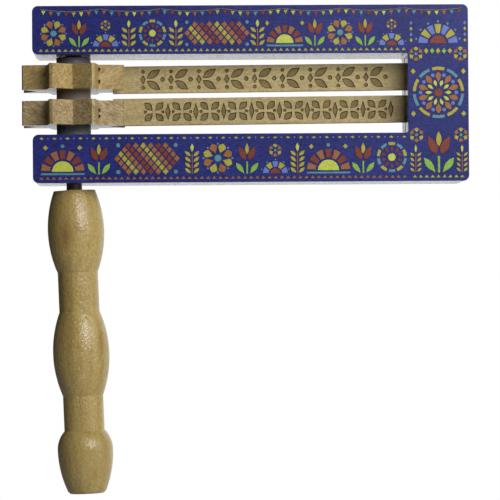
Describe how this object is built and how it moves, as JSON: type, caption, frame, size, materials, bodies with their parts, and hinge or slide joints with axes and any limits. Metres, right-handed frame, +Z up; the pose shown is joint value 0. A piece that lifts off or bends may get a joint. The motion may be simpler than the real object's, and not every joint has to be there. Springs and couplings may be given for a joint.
{
  "type": "gragger noisemaker",
  "caption": "Hand-swung wooden ratchet rattle: a frame with springy tongues spins round the axle of a turned handle, and the tongues click over star cogs pinned to the axle.",
  "frame": {"origin": "point on the axle's line, level with the crest of the handle's middle swell, where the hand closes", "axes": "+Z up along the axle towards the frame, +X from the axle towards the closed end of the frame, -Y towards the decorated front"},
  "size_m": [0.181, 0.0416, 0.1976],
  "materials": {
    "varnished_wood": "clear varnish over pale honey-coloured wood",
    "bare_wood": "sawn and sanded, bare",
    "tongue_wood": "planed smooth, with a shallow engraved ornament",
    "painted_wood": "satin blue paint all round, with a festive print on the front",
    "grey_plastic": "semi-gloss grey",
    "dark_steel": "dark, lightly oxidised",
    "rusty_steel": "dark with rust"
  },
  "bodies": {
    "handle_set": {"handle": "varnished_wood", "axle": "dark_steel", "upper_cog": "bare_wood", "lower_cog": "bare_wood", "upper_cog_brads": "rusty_steel", "lower_cog_brads": "rusty_steel", "upper_spacer": "grey_plastic", "middle_spacer": "grey_plastic", "lower_spacer": "grey_plastic", "thrust_washer": "grey_plastic"},
    "frame_set": {"frame": "painted_wood", "upper_tongue": "tongue_wood", "lower_tongue": "tongue_wood"}
  },
  "joints": [
    {"name": "frame_spin", "type": "hinge", "parent": "handle_set", "child": "frame_set", "pos_m": [0, 0, 0.1048], "axis": [0, 0, 1], "continuous": true, "deforming": ["upper_tongue", "lower_tongue"]}
  ]
}
